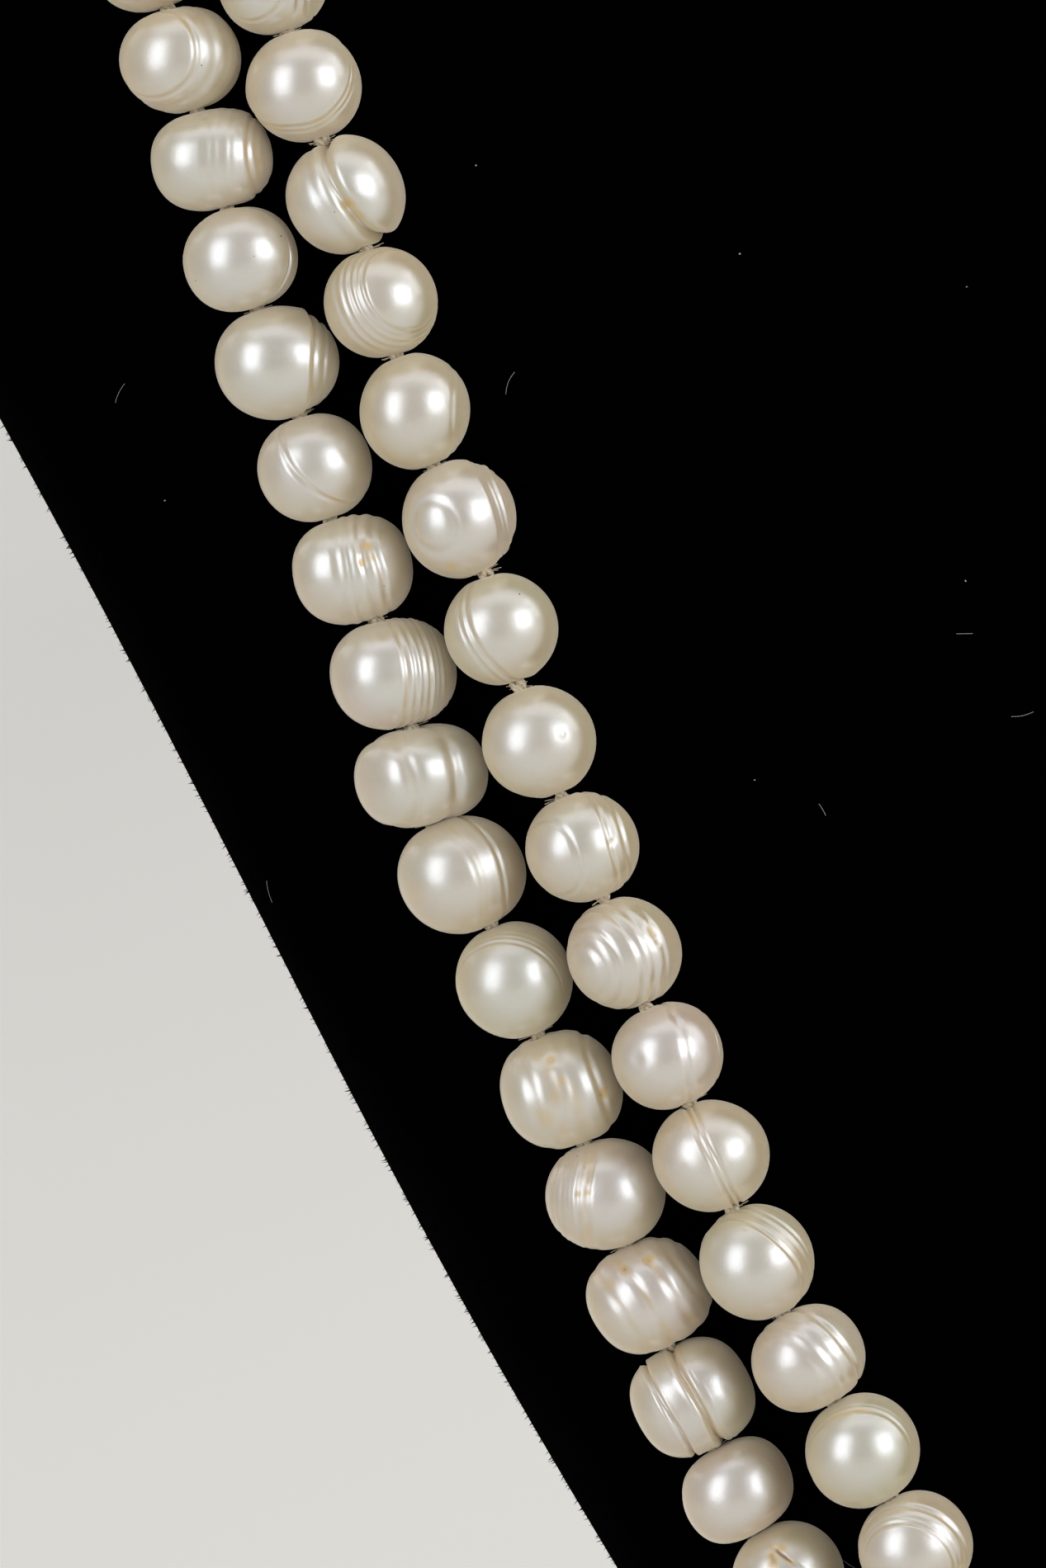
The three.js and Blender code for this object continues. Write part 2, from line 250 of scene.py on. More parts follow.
def nacreMaterial():
    material, tree, shader = newMaterial("nacre")
    cloud = noiseNode(tree, nacre["cloud"]).outputs["Fac"]
    body = mixNode(tree, attributeNode(tree, "warmth"), nacre["white"], nacre["cream"])
    rose = rangeNode(tree, attributeNode(tree, "blush"), 0, 1, 0, nacre["tint"])
    moss = rangeNode(tree, attributeNode(tree, "blush"), 0, -1, 0, nacre["tint"])
    body = mixNode(tree, rose, body, nacre["pink"])
    body = mixNode(tree, moss, body, nacre["green"])
    soiled = attributeNode(tree, "stain")
    body = mixNode(tree, soiled, body, nacre["tan"])
    body = mixNode(tree, rangeNode(tree, soiled, 1, 2), body, nacre["brown"])
    tree.links.new(body, shader.inputs["Base Color"])
    setInputs(shader, {
        "Roughness": nacre["skinRoughness"],
        "IOR": nacre["skin"],
        "Subsurface Weight": nacre["glow"],
        "Subsurface Radius": nacre["glowReach"],
        "Subsurface Scale": 1,
        "Sheen Weight": nacre["bloom"],
        "Sheen Roughness": nacre["bloomRoughness"],
        "Sheen Tint": nacre["bloomTint"],
    })
    lustre = addNode(tree, "ShaderNodeBsdfAnisotropic", Color=nacre["lustre"])
    rough = rangeNode(tree, cloud, *noiseSpan, *nacre["roughness"])
    tree.links.new(rough, lustre.inputs["Roughness"])
    grain = noiseNode(tree, nacre["grain"]).outputs["Fac"]
    addBump(tree, grain, nacre, shader, lustre)
    edge = addNode(tree, "ShaderNodeLayerWeight", Blend=0.5).outputs["Facing"]
    both = addNode(tree, "ShaderNodeMixShader")
    share = addNode(tree, "ShaderNodeMath", operation="MULTIPLY")
    fading = rangeNode(tree, edge, *nacre["edge"], *nacre["lustreShare"])
    tree.links.new(fading, share.inputs[0])
    tree.links.new(rangeNode(tree, soiled, *nacre["chalk"]), share.inputs[1])
    tree.links.new(share.outputs[0], both.inputs[0])
    tree.links.new(shader.outputs[0], both.inputs[1])
    tree.links.new(lustre.outputs[0], both.inputs[2])
    tree.links.new(both.outputs[0], tree.nodes["Material Output"].inputs["Surface"])
    return material


velvet = {
    "black": (0.00022, 0.00022, 0.00026, 1),
    "worn": (0.0005, 0.0005, 0.00055, 1),
    "wornAt": (0.4, 0.65),
    "sheen": 0.004,
    "sheenRoughness": 0.3,
    "nap": 45,
    "pile": 2400,
    "bump": 0.6,
    "depth": 0.0003,
}


def velvetMaterial():
    material, tree, shader = newMaterial("black velvet")
    nap = noiseNode(tree, velvet["nap"], 4).outputs["Fac"]
    tone = mixNode(tree, rangeNode(tree, nap, *velvet["wornAt"]),
                   velvet["black"], velvet["worn"])
    tree.links.new(tone, shader.inputs["Base Color"])
    setInputs(shader, {"Roughness": 1, "Specular IOR Level": 0, "Sheen Weight": velvet["sheen"],
                       "Sheen Roughness": velvet["sheenRoughness"]})
    pile = noiseNode(tree, velvet["pile"]).outputs["Fac"]
    addBump(tree, pile, velvet, shader)
    return material


silkTone = {"shade": (0.60, 0.49, 0.33, 1), "light": (0.80, 0.73, 0.58, 1), "twist": 900,
            "waver": 1.5, "roughness": 0.75, "sheen": 0.3, "bump": 0.5, "depth": 0.00006}


def silkMaterial():
    material, tree, shader = newMaterial("cream silk")
    place = addNode(tree, "ShaderNodeTexCoord")
    twist = addNode(tree, "ShaderNodeTexWave", Scale=silkTone["twist"],
                    Distortion=silkTone["waver"])
    twist.bands_direction = "DIAGONAL"
    tree.links.new(place.outputs["Object"], twist.inputs["Vector"])
    tone = mixNode(tree, twist.outputs["Fac"], silkTone["shade"], silkTone["light"])
    tree.links.new(tone, shader.inputs["Base Color"])
    setInputs(shader, {"Roughness": silkTone["roughness"], "Sheen Weight": silkTone["sheen"]})
    addBump(tree, twist.outputs["Fac"], silkTone, shader)
    return material


gilt = {"deep": (0.72, 0.50, 0.20, 1), "bright": (0.90, 0.70, 0.36, 1), "rub": 500,
        "roughness": (0.16, 0.34)}


def giltMaterial():
    material, tree, shader = newMaterial("gilt metal")
    rub = noiseNode(tree, gilt["rub"], 4).outputs["Fac"]
    tone = mixNode(tree, rub, gilt["deep"], gilt["bright"])
    tree.links.new(tone, shader.inputs["Base Color"])
    setInputs(shader, {"Metallic": 1})
    rough = rangeNode(tree, rub, *noiseSpan, *gilt["roughness"])
    tree.links.new(rough, shader.inputs["Roughness"])
    return material


def mottledMaterial(name, finish):
    # two tones in soft clouds
    material, tree, shader = newMaterial(name)
    cloud = noiseNode(tree, finish["cloud"]).outputs["Fac"]
    tone = mixNode(tree, cloud, finish["shade"], finish["light"])
    tree.links.new(tone, shader.inputs["Base Color"])
    setInputs(shader, {"Roughness": finish["roughness"]})
    return material


# shared by the pieces
def piece(name, mesh, slot, material, *nodes):
    obj = link(bpy.data.objects.new(name, mesh))
    mesh.materials.append(material)
    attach(obj, "root")
    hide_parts(*nodes)
    return obj


weld = 1e-6  # points nearer than this are one


def copyOfNode(name):
    bm = bmesh.new()
    bm.from_mesh(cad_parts[name].data)
    bmesh.ops.remove_doubles(bm, verts=bm.verts, dist=weld)
    bm.verts.index_update()
    return bm


def meshFrom(bm, name, smooth=False):
    for face in bm.faces:
        face.smooth = smooth
    mesh = bpy.data.meshes.new(name)
    bm.to_mesh(mesh)
    bm.free()
    return mesh


def finishedMesh(obj):
    # the mesh with its modifiers applied
    return bpy.data.meshes.new_from_object(obj.evaluated_get(
        bpy.context.evaluated_depsgraph_get()))


def ringsOf(name, near=None):
    # the CAD rings of a turned solid, walked from the end that is nearer to a point
    bm = copyOfNode(name)
    # each end is a fan, so every neighbour of its tip has five edges
    tips = [v for v in bm.verts if all(len(e.other_vert(v).link_edges) == 5 for e in v.link_edges)]
    if near is not None:
        tips.sort(key=lambda v: (v.co - near).length)
    edge, seen, rings = [tips[0]], set(), []
    while edge:
        seen.update(edge)
        rings.append([v.co.copy() for v in edge])
        beyond = {e.other_vert(v) for v in edge for e in v.link_edges} - seen
        edge = sorted(beyond, key=lambda v: v.index)
    bm.free()
    return rings


def middleOf(points):
    return sum(points, Vector()) / len(points)


def numbered(name, k):
    return f"{name}_{k:02d}"


def setFloats(mesh, name, values):
    mesh.attributes.new(name, "FLOAT", "POINT").data.foreach_set("value", values)


# pearls
pearl = {
    "segments": 72,  # round the growth axis
    "levels": 96,  # along it, fine enough for the growth rings
    "plainSegments": 36,
    "plainLevels": 24,
    "mouth": 0.2,  # size and depth of the drill hole's mouth, in radii
    "mouthDepth": 0.05,
    "lump": 0.012,
    "wander": 0.035,
    "relief": 1.3,
    "gap": 0.00012,  # from its neighbours along the thread
    "crowding": 0.45,  # how much closer the mesh's meridians are in front
    "thickness": 0.98,  # front to back, times the middle of width and height
    "mouthStain": 0.45,
    "mouthStainSize": 0.8,  # times the mouth
    "plainSize": 9.9,  # millimetres
    "full": 2.0,  # a ball, and more than that is squarer
}

# The pearls on the wearer's right, as they lie. Sizes are in millimetres, across and up.
# Everything else is in radii, seen from the front. pole is where the growth axis comes out, and
# places on that axis run from 1 there to -1 behind. Rings are (place, width, depth, stain),
# bands of fine rings (from, to, count, depth), and arcs are rings on a pole of their own
# (pole x, pole y, place, width, depth, stain), kept near a point if x, y, reach follow.
# Pits, dents and spots are (x, y, size, depth, stain), bumps (x, y, size, height), and caps
# (place, rise) raise all that lies on the pole's side of a place. Specks are dark grains
# (x, y, times the usual size).
pearls = {
    "outer_01": dict(size=(10.1, 9.5), pole=(1, 0.1), warm=0.6, rings=[(0.2, 0.06, 0.02, 0.1)]),
    "outer_02": dict(
        size=(10.3, 9.8), pole=(-0.62, 0.16), warm=0.45, blush=0.15, full=2.1,
        rings=[(0.63, 0.045, 0.03, 0.25), (0.36, 0.1, 0.018, 0), (0.08, 0.08, 0.01, 0),
               (-0.25, 0.05, 0.03, 0.3)],
        caps=[(0.62, 0.034), (-0.25, 0.02)],
        specks=[(0.33, -0.1, 1)], spots=[(-0.3, -0.7, 0.25, 0, 0.1)]),
    "outer_03": dict(
        size=(10.5, 9.6), pole=(0.99, 0.07), warm=0.35, full=2.25, blush=-0.05,
        rings=[(0.04, 0.07, 0.01, 0.05), (0.27, 0.08, 0.012, 0.05), (0.42, 0.04, 0.006, 0.05),
               (0.68, 0.05, 0.024, 0.35)],
        bands=[(0.74, 0.96, 2, 0.008)], caps=[(0.67, -0.02)],
        pits=[(-0.13, 0.8, 0.13, 0.07, 0.1), (0.79, -0.03, 0.07, 0.01, 0.4)]),
    "outer_04": dict(
        size=(9.9, 9.9), pole=(-0.25, -0.02), warm=0.35, blush=0.12,
        rings=[(0.32, 0.05, 0.075, 0.3)], caps=[(0.33, 0.055)],
        specks=[(0.67, 0.4, 1.2), (-0.82, -0.38, 1), (0.2, 0.05, 0.8)]),
    "outer_05": dict(
        size=(10.6, 9.8), pole=(-0.985, 0.03), warm=0.4, full=2.1,
        rings=[(-0.42, 0.05, 0.045, 0.4), (-0.62, 0.045, 0.022, 0.05), (-0.74, 0.04, 0.01, 0.05)],
        caps=[(-0.44, 0.06)], spots=[(0.5, 0.52, 0.09, 0, 0.5), (0.55, -0.4, 0.1, 0, 0.2)]),
    "outer_06": dict(
        size=(10, 10), pole=(0.6, 0.6), warm=0.3, blush=0.02, rings=[(0.25, 0.05, 0.024, 0.15)],
        arcs=[(0.6, 0.6, 0.235, 0.03, 0.05, 1, 0.36, -0.5, 0.3)]),
    "outer_07": dict(
        size=(10.4, 9.7), pole=(0.985, 0.15), warm=0.45, blush=0.12, full=2.3,
        rings=[(-0.17, 0.06, 0.012, 0), (0.04, 0.05, 0.016, 0), (0.26, 0.05, 0.022, 0.08),
               (0.47, 0.05, 0.016, 0.08)],
        pits=[(0.25, 0.43, 0.12, 0.025, 1), (0.15, 0.12, 0.1, 0.02, 1),
              (0.33, 0.22, 0.1, 0.01, 0.7)],
        spots=[(-0.35, 0.05, 0.13, 0, 0.12)],
        specks=[(0.52, -0.3, 0.8)]),
    "outer_08": dict(
        size=(10.9, 10), pole=(-0.95, -0.12), warm=0.35, blush=0.18, full=2.2,
        bands=[(0.1, -0.8, 11, 0.014)], rings=[(-0.33, 0.03, 0.02, 0.4)],
        pits=[(-0.17, 0.72, 0.11, 0.05, 0.2)]),
    "outer_09": dict(
        size=(11, 10.1), pole=(-0.86, -0.2), warm=0.35, full=2.5,
        rings=[(0.57, 0.11, 0.04, 0.12), (-0.1, 0.11, 0.044, 0.14)]),
    "outer_10": dict(
        size=(11, 10.2), pole=(-0.84, -0.33), warm=0.5, full=2.15, blush=0.08,
        rings=[(-0.22, 0.04, 0.036, 0.3)], caps=[(-0.23, 0.02)], bands=[(0.26, -0.06, 4, 0.006)],
        spots=[(-0.75, -0.3, 0.2, 0, 0.2)]),
    "outer_11": dict(
        size=(10.3, 10.2), pole=(-0.22, -0.45), warm=0.65, blush=-0.45,
        rings=[(0.37, 0.035, 0.03, 0.12), (0.27, 0.035, 0.026, 0.1), (0.18, 0.03, 0.02, 0.1)],
        bands=[(0.14, -0.2, 4, 0.007)], spots=[(-0.38, 0.86, 0.07, 0.01, 0.7)]),
    "outer_12": dict(
        size=(10.7, 10.3), pole=(0.95, 0.31), warm=0.5, lump=0.02, full=2.2,
        rings=[(-0.47, 0.1, 0.016, 0.12), (-0.12, 0.13, 0.018, 0.3), (0.2, 0.12, 0.018, 0.2),
               (0.6, 0.06, 0.028, 0.45)],
        pits=[(-0.17, 0.52, 0.11, 0.03, 0.9), (0.7, -0.08, 0.11, 0.03, 1),
              (-0.25, -0.5, 0.16, 0, 0.45), (0.02, 0.15, 0.1, 0, 0.5)],
        bumps=[(-0.7, 0.5, 0.1, 0.05)]),
    "outer_13": dict(
        size=(10.5, 10), pole=(0.97, -0.05), warm=0.45, blush=0.25, full=2.15,
        bands=[(0.02, -0.75, 9, 0.009)],
        arcs=[(0.97, -0.05, -0.04, 0.028, 0.02, 0.8, -0.27, 0.33, 0.18)],
        spots=[(-0.47, 0, 0.06, 0.01, 0.9), (-0.3, 0.03, 0.06, 0.01, 0.8),
               (-0.05, 0.86, 0.09, 0.01, 1.2), (0.12, 0.88, 0.08, 0.01, 1.2)],
        specks=[(-0.48, 0.66, 1), (-0.36, 0.45, 0.8), (0.56, 0.68, 0.8)]),
    "outer_14": dict(
        size=(10.6, 10.4), pole=(0.82, 0.57), warm=0.55, blush=0.35, full=2.3,
        rings=[(-0.48, 0.08, 0.012, 0.2), (-0.06, 0.07, 0.018, 0.35), (0.34, 0.07, 0.015, 0.35),
               (0.67, 0.07, 0.014, 0.2), (0.86, 0.06, 0.01, 0.15)],
        spots=[(-0.4, 0.48, 0.08, 0.02, 1), (0, 0.62, 0.11, 0.01, 0.9),
               (-0.62, 0.2, 0.1, 0, 0.5)]),
    "outer_15": dict(
        size=(10.5, 10.6), pole=(0.87, 0.49), warm=0.45, blush=0.08, full=2.4,
        rings=[(-0.38, 0.035, 0.055, 0.2), (0.13, 0.055, 0.08, 0.3), (0.25, 0.03, 0.02, 0.05)],
        pits=[(-0.28, 0.8, 0.1, 0.04, 0.8), (0.5, -0.7, 0.1, 0.04, 0.6)]),
    "outer_16": dict(
        size=(9.9, 10.4), pole=(-0.17, -0.4), warm=0.5, blush=0.5,
        rings=[(0.29, 0.04, 0.016, 0.14), (0.19, 0.04, 0.014, 0.1), (0.08, 0.04, 0.014, 0.08),
               (-0.04, 0.04, 0.012, 0.08)]),
    "outer_17": dict(
        size=(9.8, 9.9), pole=(0.5, 0.85), warm=0.6,
        arcs=[(0.5, 0.85, 0.42, 0.035, 0.03, 3.5, 0.02, 0.37, 0.3)],
        spots=[(-0.25, 0.25, 0.12, 0, 1.4), (-0.3, 0.38, 0.09, 0, 1.3),
               (-0.12, 0.52, 0.1, 0, 1.1)]),
    "inner_01": dict(
        size=(9.6, 9.4), pole=(-0.5, 0), warm=0.55,
        rings=[(0.73, 0.05, 0.03, 0.2), (0.45, 0.07, 0.012, 0.1)], caps=[(0.72, 0.025)],
        arcs=[(0.97, -0.1, 0.66, 0.04, 0.02, 0.1), (0.97, -0.1, 0.8, 0.04, 0.02, 0.1)]),
    "inner_02": dict(
        size=(9.9, 9.9), pole=(-0.38, 0.5), warm=0.5, blush=0.1,
        rings=[(0.22, 0.045, 0.044, 0.4), (0.12, 0.04, 0.022, 0.2)], caps=[(0.22, 0.03)]),
    "inner_03": dict(
        size=(10.1, 10.1), pole=(0.815, 0.468), warm=0.45, full=2.1, blush=-0.05,
        rings=[(0.26, 0.11, 0.1, 0.12), (-0.12, 0.09, 0.014, 0)], caps=[(0.27, 0.05)],
        pits=[(0.06, -0.15, 0.13, 0.04, 1.1), (0.26, -0.38, 0.13, 0.03, 0.6)],
        specks=[(-0.17, -0.28, 0.8)]),
    "inner_04": dict(
        size=(10, 9.8), pole=(0.5, 0.33), warm=0.6,
        rings=[(0.66, 0.045, 0.03, 0.15), (0.57, 0.04, 0.02, 0.15), (0.45, 0.05, 0.02, 0.1),
               (0.3, 0.05, 0.018, 0.1), (0.12, 0.06, 0.016, 0.1)],
        caps=[(0.66, 0.022)]),
    "inner_05": dict(
        size=(9.6, 10.1), pole=(1, 0), warm=0.7, blush=-0.35,
        rings=[(0.66, 0.05, 0.009, 0.06), (0.78, 0.05, 0.006, 0.05)]),
    "inner_06": dict(
        size=(9.9, 10.3), pole=(-0.93, -0.24), warm=0.5, blush=0.12,
        bands=[(-0.33, -0.9, 6, 0.028)], arcs=[(-0.48, -0.13, 0.9, 0.09, 0.028, 0)],
        spots=[(-0.14, -0.8, 0.08, 0.01, 1)]),
    "inner_07": dict(
        size=(9.9, 9.7), pole=(0.76, 0.35), warm=0.6, blush=-0.3,
        rings=[(0.05, 0.06, 0.028, 0.1), (-0.1, 0.05, 0.02, 0)], specks=[(0.32, 0.62, 1.2)]),
    "inner_08": dict(
        size=(9.9, 9.8), pole=(0.45, 0.25), warm=0.65, bands=[(-0.22, -0.5, 4, 0.026)],
        bumps=[(0.4, 0.13, 0.05, 0.012)], spots=[(0.06, -0.4, 0.03, -0.006, 0)]),
    "inner_09": dict(
        size=(9.9, 9.7), pole=(-0.92, -0.25), warm=0.5, blush=-0.1,
        rings=[(-0.22, 0.04, 0.025, 0.25), (-0.52, 0.05, 0.034, 0.2)],
        arcs=[(-0.72, -0.25, 0.7, 0.045, 0.018, 0.03)],
        pits=[(0.52, 0.1, 0.06, 0.03, 0.8), (0.86, 0.14, 0.06, 0, 0.5)]),
    "inner_10": dict(
        size=(9.8, 9.6), pole=(-0.75, -0.35), warm=0.5, lump=0.018, blush=0.05,
        rings=[(0.88, 0.07, 0.016, 0), (0.7, 0.055, 0.026, 0.03), (0.38, 0.055, 0.032, 0.03),
               (0.14, 0.06, 0.022, 0.03), (-0.12, 0.05, 0.016, 0.03)],
        caps=[(0.38, 0.01)],
        pits=[(0.45, 0.43, 0.08, 0.03, 0.75), (0.51, 0.32, 0.07, 0.03, 0.7),
              (0.58, 0.2, 0.07, 0.03, 0.7)]),
    "inner_11": dict(
        size=(9.7, 9.7), pole=(-0.93, -0.2), warm=0.5, blush=0.2,
        rings=[(-0.05, 0.06, 0.018, 0), (-0.72, 0.035, 0.024, 0.15)],
        dents=[(-0.55, -0.1, 0.22, 0.03, 0)]),
    "inner_12": dict(
        size=(10.1, 9.7), pole=(0.895, 0.445), warm=0.55,
        rings=[(-0.02, 0.035, 0.035, 0.35), (0.09, 0.035, 0.03, 0.2)],
        dents=[(-0.5, -0.25, 0.2, 0.012, 0)],
        spots=[(-0.3, 0.65, 0.12, 0, 0.3), (0.2, -0.65, 0.12, 0, 0.35)]),
    "inner_13": dict(
        size=(9.9, 9.9), pole=(-0.47, -0.58), warm=0.55, blush=-0.15,
        rings=[(0.19, 0.04, 0.028, 0.3), (0.08, 0.06, 0.01, 0.2), (-0.03, 0.05, 0.012, 0.1),
               (-0.2, 0.04, 0.024, 0.1), (-0.36, 0.05, 0.014, 0.05)],
        caps=[(0.19, 0.02)],
        spots=[(-0.21, 0.54, 0.05, 0, 0.6), (0.67, -0.02, 0.05, 0, 0.6)]),
    "inner_14": dict(
        size=(9.9, 9.9), pole=(-0.7, -0.67), warm=0.55, blush=0.18,
        rings=[(-0.36, 0.05, 0.034, 0.3), (0.22, 0.09, 0.014, 0), (-0.02, 0.07, 0.014, 0)],
        dents=[(-0.15, -0.35, 0.2, 0.014, 0)]),
    "inner_15": dict(
        size=(9.9, 10.1), pole=(-0.12, -0.44), warm=0.7, blush=-0.4,
        rings=[(0.36, 0.04, 0.024, 0.3), (0.27, 0.04, 0.012, 0.05)],
        arcs=[(-0.12, -0.44, 0.37, 0.04, 0.01, 0.8, -0.1, 0.62, 0.4)]),
    "inner_16": dict(
        size=(9.9, 9.8), pole=(-0.2, -0.5), warm=0.55, blush=0.1,
        rings=[(0.56, 0.04, 0.022, 0.1), (0.48, 0.035, 0.014, 0.1), (0.25, 0.05, 0.03, 0.2)],
        spots=[(0.45, 0.52, 0.06, 0, 0.4)]),
}


halfMillimetres = 2000  # in a metre, to make a width in millimetres a radius


def unitFrom(x, y):
    # a point on the face of a ball of radius 1, from where it is seen
    away = max(1.0, math.hypot(x, y))
    return np.array((x / away, y / away, math.sqrt(max(0.0, 1 - (x * x + y * y) / away ** 2))))


growth = {
    "peak": 1.6,  # of a ripple, times its usual height
    # how finely each thing wanders over the ball, in waves
    "lumpWaves": 1.6,
    "wanderWaves": 2.2,
    "strengthWaves": 1.8,
    "stainWaves": 9,
    "edgeWaves": 7,
    "blushWaves": 1.7,
    "warmthWaves": 1.3,
    # how strongly, about the charted value
    "strength": (0.85, 0.3),
    "ringStain": (1, 0.7),
    "spotEdge": (1, 0.25),
    "blush": 0.28,
    "warmth": 0.22,
    "stainWarmth": 0.5,
    # the rings of a band: place and width in shares of their spacing, and depth
    "bandStray": (-0.3, 0.3),
    "bandWidth": (0.35, 0.6),
    "bandDepth": (0.5, 1.4),
    "bandStains": (0, 0, 0.12, 0.3),
    # the lips of a narrow ring: their place, width and height, times the ring's
    "lipPlace": 1.9,
    "lipWidth": 0.8,
    "lipHeight": 0.18,
    "narrow": 0.08,
    "stainWidth": 0.9,
    "spotWidth": 0.85,
    "capWidth": 0.05,
    "capLevel": 0.3,  # share of a cap's rise that the whole pearl gives back
}


def ripple(rng, points, scale, count=6):
    # soft wandering values of about -1 to 1 over the ball
    total = np.zeros(len(points))
    for _ in range(count):
        wave = np.array([rng.gauss(0, 1) for _ in range(3)]) * scale
        total += np.sin(points @ wave + rng.uniform(0, math.tau))
    return total / math.sqrt(count * 0.5) / growth["peak"]


def ringAngle(points, pole, place):
    # the angle past a ring at this place on the growth axis
    return np.arccos(np.clip(points @ pole, -1, 1)) - math.acos(place)


def grownSurface(chart, points, rng):
    # how far the surface stands off the ball, and the colours, at each unit direction
    rise = ripple(rng, points, growth["lumpWaves"]) * chart.get("lump", pearl["lump"])
    stain = np.zeros(len(points))
    wander = ripple(rng, points, growth["wanderWaves"]) * pearl["wander"]
    usual, spread = growth["strength"]
    strength = usual + spread * ripple(rng, points, growth["strengthWaves"])
    pole = unitFrom(*chart["pole"])
    rings = [(pole, *row, None) for row in chart.get("rings", [])]
    for start, stop, count, depth in chart.get("bands", []):
        step = (stop - start) / count
        for k in range(count):
            place = start + (k + 0.5 + rng.uniform(*growth["bandStray"])) * step
            rings.append((pole, place, abs(step) * rng.uniform(*growth["bandWidth"]),
                          depth * rng.uniform(*growth["bandDepth"]),
                          rng.choice(growth["bandStains"]), None))
    for row in chart.get("arcs", []):
        rings.append((unitFrom(*row[:2]), *row[2:6], row[6:] or None))
    for axis, place, width, depth, tan, part in rings:
        away = (ringAngle(points, axis, place) + wander) / width
        amount = strength
        if part:
            amount = np.exp(-(np.linalg.norm(points - unitFrom(*part[:2]), axis=1) / part[2]) ** 2)
        lip = np.exp(-((np.abs(away) - growth["lipPlace"]) / growth["lipWidth"]) ** 2)
        lip = lip * (growth["lipHeight"] if width < growth["narrow"] else 0)
        rise += pearl["relief"] * depth * amount * (lip - np.exp(-away ** 2))
        usual, spread = growth["ringStain"]
        patchy = usual + spread * ripple(rng, points, growth["stainWaves"])
        stain += tan * amount * np.exp(-(away / growth["stainWidth"]) ** 2) * patchy
    for place, step in chart.get("caps", []):
        away = (ringAngle(points, pole, place) + wander) / growth["capWidth"]
        rise += step * (0.5 - 0.5 * np.tanh(away)) - step * growth["capLevel"]
    for row in [*chart.get("pits", []), *chart.get("dents", []), *chart.get("spots", [])]:
        x, y, size, depth, tan = row
        away = np.linalg.norm(points - unitFrom(x, y), axis=1) / size
        usual, spread = growth["spotEdge"]
        away = away * (usual + spread * ripple(rng, points, growth["edgeWaves"]))
        rise -= depth * np.exp(-away ** 2)
        stain += tan * np.exp(-(away / growth["spotWidth"]) ** 4)
    for x, y, size, height in chart.get("bumps", []):
        away = np.linalg.norm(points - unitFrom(x, y), axis=1) / size
        rise += height * np.exp(-away ** 2)
    blush = chart.get("blush", 0.0) + growth["blush"] * ripple(rng, points, growth["blushWaves"])
    warmth = (chart["warm"] + growth["warmth"] * ripple(rng, points, growth["warmthWaves"])
              + growth["stainWarmth"] * stain)
    return rise, stain.clip(0, 2), blush.clip(-1, 1), warmth.clip(0, 1)


def crowded(points, pole):
    # the same ball with its meridians drawn together on the side that is seen
    front = np.array((0, 0, 1)) - pole * pole[2]
    front /= np.linalg.norm(front)
    side = np.cross(pole, front)
    turn = np.arctan2(points @ side, points @ front)
    turn = turn - pearl["crowding"] * np.sin(turn)
    height = points @ pole
    wide = np.sqrt(np.clip(1 - height ** 2, 0, 1))
    return (np.outer(height, pole) + np.outer(wide * np.cos(turn), front)
            + np.outer(wide * np.sin(turn), side))


def growPearl(bm, chart, place, along, length, axes, rng, segments, levels):
    # a ball whose poles are on the growth axis, moved out and in to the grown surface
    pole = Vector(unitFrom(*chart["pole"]))
    ball = bmesh.ops.create_uvsphere(bm, u_segments=segments, v_segments=levels, radius=1,
                                     matrix=pole.to_track_quat("Z", "Y").to_matrix().to_4x4())
    points = crowded(np.array([v.co for v in ball["verts"]]), np.array(pole))
    rise, stain, blush, warmth = grownSurface(chart, points, rng)
    thread = np.array([along.dot(axis) for axis in axes])
    for end in (thread, -thread):
        away = np.linalg.norm(points - end, axis=1) / pearl["mouth"]
        rise -= pearl["mouthDepth"] * np.exp(-away ** 2)
        stain = np.maximum(stain, pearl["mouthStain"]
                           * np.exp(-(away / pearl["mouthStainSize"]) ** 2))
    wide, high = chart["size"]
    half = np.array((wide, high, 0.5 * (wide + high) * pearl["thickness"])) / halfMillimetres
    lengthwise = points @ np.array(pole)
    sideways = np.sqrt(np.clip(1 - lengthwise ** 2, 0, 1))
    full = chart.get("full", pearl["full"])
    swell = (np.abs(lengthwise) ** full + sideways ** full) ** (-1 / full)
    spots = points * (swell * (1 + rise))[:, None] * half
    # where it would reach into a neighbour its ends are blunter
    reach = spots @ thread
    longest = np.abs(reach).max()
    over = 1 - (length / 2 - pearl["gap"] / 2) / longest
    if over > 0:
        spots -= np.outer(over * reach * (reach / longest) ** 2, thread)
    world = spots @ np.array([tuple(axis) for axis in axes])
    for vert, spot in zip(ball["verts"], world):
        vert.co = place + Vector(spot)
    return stain, blush, warmth


lot = {
    "turn": (-0.5, 0.5),  # radians, of the growth axis
    "squash": (0.93, 1.0),
    "warm": (0.3, 0.75),
    "blush": (-0.3, 0.3),
    "lump": (0.01, 0.02),
    "rings": (0, 3),
    "ring": ((-0.7, 0.8), (0.06, 0.1), (0.01, 0.035), (0, 0.3)),
    "bandChance": 0.5,
    "bandStart": (-0.2, 0.5),
    "band": (0.45, 0.9, 4, 0.011),  # its length, furthest end, count and depth
    "pitChance": 0.4,
    "pitPlace": (-0.6, 0.6),
    "pit": (0.09, 0.02, 0.7),
}


